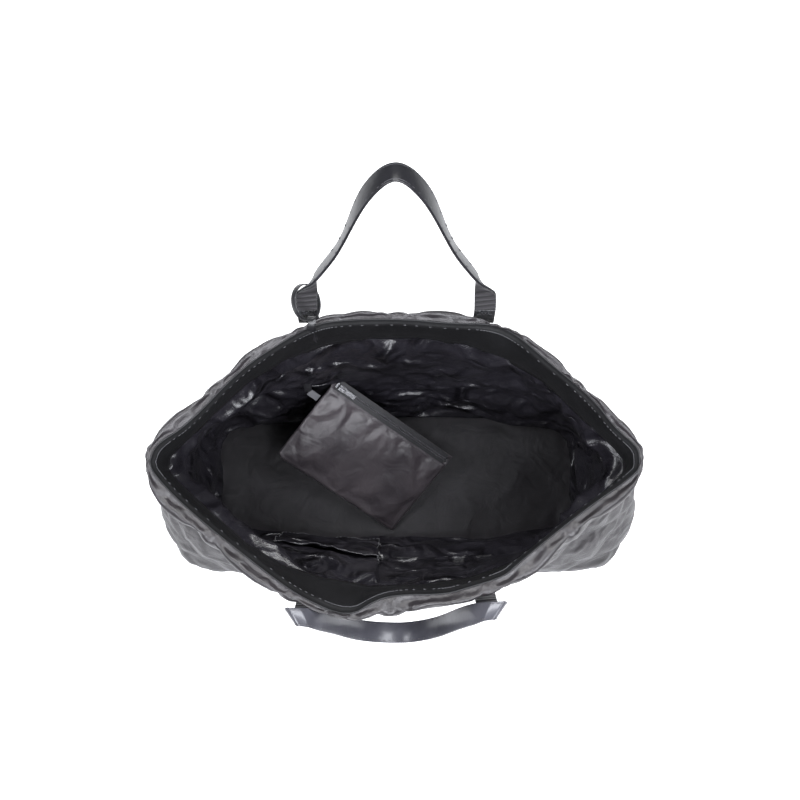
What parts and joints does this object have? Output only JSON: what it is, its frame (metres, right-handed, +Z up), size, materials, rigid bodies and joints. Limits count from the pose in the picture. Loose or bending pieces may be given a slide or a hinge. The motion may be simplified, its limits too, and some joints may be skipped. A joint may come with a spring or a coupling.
{
  "type": "tote bag",
  "caption": "Open-top padded tote bag with drooping strap handles, loose lining, zip and slip pockets, and a zip pouch on a tether.",
  "frame": {"origin": "centre of the flat underside", "axes": "+Z up through the mouth, +X along the long side towards the right side seam, +Y towards the back panel"},
  "size_m": [0.59, 0.5116, 0.4892],
  "materials": {
    "quilted_nylon": "satin",
    "wadding": "matte",
    "lining_satin": "glossy",
    "facing_leather": "satin",
    "base_board": "matte",
    "strap_leather": "glossy",
    "webbing": "matte",
    "tether_leather": "satin",
    "zip_tape": "matte",
    "zip_coil": "satin",
    "zip_metal": "polished",
    "pouch_nylon": "satin"
  },
  "bodies": {
    "bag": {"back_handle_foot_left": "strap_leather", "back_handle_foot_right": "strap_leather", "base_board": "base_board", "facing_back": "facing_leather", "facing_front": "facing_leather", "front_handle_foot_left": "strap_leather", "front_handle_foot_right": "strap_leather", "lining_back": "lining_satin", "lining_base": "lining_satin", "lining_front": "lining_satin", "outer_back_panel": "quilted_nylon", "outer_base_panel": "quilted_nylon", "outer_front_panel": "quilted_nylon", "pocket_zip_coil_lower": "zip_coil", "pocket_zip_coil_upper": "zip_coil", "pocket_zip_stops": "zip_metal", "pocket_zip_tape_lower": "zip_tape", "pocket_zip_tape_upper": "zip_tape", "slip_pocket_panel": "lining_satin", "wadding_back": "wadding", "wadding_base": "wadding", "wadding_front": "wadding", "zip_pocket_bag": "lining_satin"},
    "back_handle": {"back_handle_strap": "strap_leather", "back_handle_backing": "webbing", "tether_loop": "tether_leather"},
    "front_handle": {"front_handle_strap": "strap_leather", "front_handle_backing": "webbing"},
    "tether": {"tether_strap": "tether_leather"},
    "pouch": {"pouch_back_panel": "pouch_nylon", "pouch_front_panel": "pouch_nylon", "pouch_tab": "tether_leather", "pouch_zip_coil_lower": "zip_coil", "pouch_zip_coil_upper": "zip_coil", "pouch_zip_stops": "zip_metal", "pouch_zip_tape_lower": "zip_tape", "pouch_zip_tape_upper": "zip_tape"},
    "pouch_slider": {"pouch_zip_slider": "zip_metal"},
    "pouch_puller": {"pouch_zip_puller": "zip_metal"},
    "pocket_slider": {"pocket_zip_slider": "zip_metal"},
    "pocket_puller": {"pocket_zip_puller": "zip_metal"}
  },
  "joints": [
    {"name": "back_handle_swing", "type": "hinge", "parent": "bag", "child": "back_handle", "pos_m": [0, 0.175, 0.354], "axis": [1, 0, 0], "range_deg": [-100, 55]},
    {"name": "front_handle_swing", "type": "hinge", "parent": "bag", "child": "front_handle", "pos_m": [0, -0.18, 0.358], "axis": [1, 0, 0], "range_deg": [-150, 0]},
    {"name": "tether_swing", "type": "hinge", "parent": "bag", "child": "tether", "pos_m": [-0.096, 0.158, 0.355], "axis": [0, 1, 0], "range_deg": [-12, 0]},
    {"name": "pouch_swing", "type": "hinge", "parent": "tether", "child": "pouch", "pos_m": [-0.11247, 0.10599, 0.14919], "axis": [-0.6383, -0.6972, -0.3263], "range_deg": [0, 24]},
    {"name": "pouch_zip_slide", "type": "slide", "parent": "pouch", "child": "pouch_slider", "axis": [0.7525, -0.4757, -0.4555], "range_m": [0, 0.171]},
    {"name": "pouch_puller_flip", "type": "hinge", "parent": "pouch_slider", "child": "pouch_puller", "pos_m": [-0.069, 0.10846, 0.14927], "axis": [-0.6383, -0.6972, -0.3263], "range_deg": [0, 165]},
    {"name": "pocket_zip_slide", "type": "slide", "parent": "bag", "child": "pocket_slider", "axis": [-1, 0, 0], "range_m": [0, 0.133]},
    {"name": "pocket_puller_flip", "type": "hinge", "parent": "pocket_slider", "child": "pocket_puller", "pos_m": [0.1415, -0.10367, 0.13047], "axis": [0, 0.1465, -0.9892], "range_deg": [0, 165]}
  ]
}
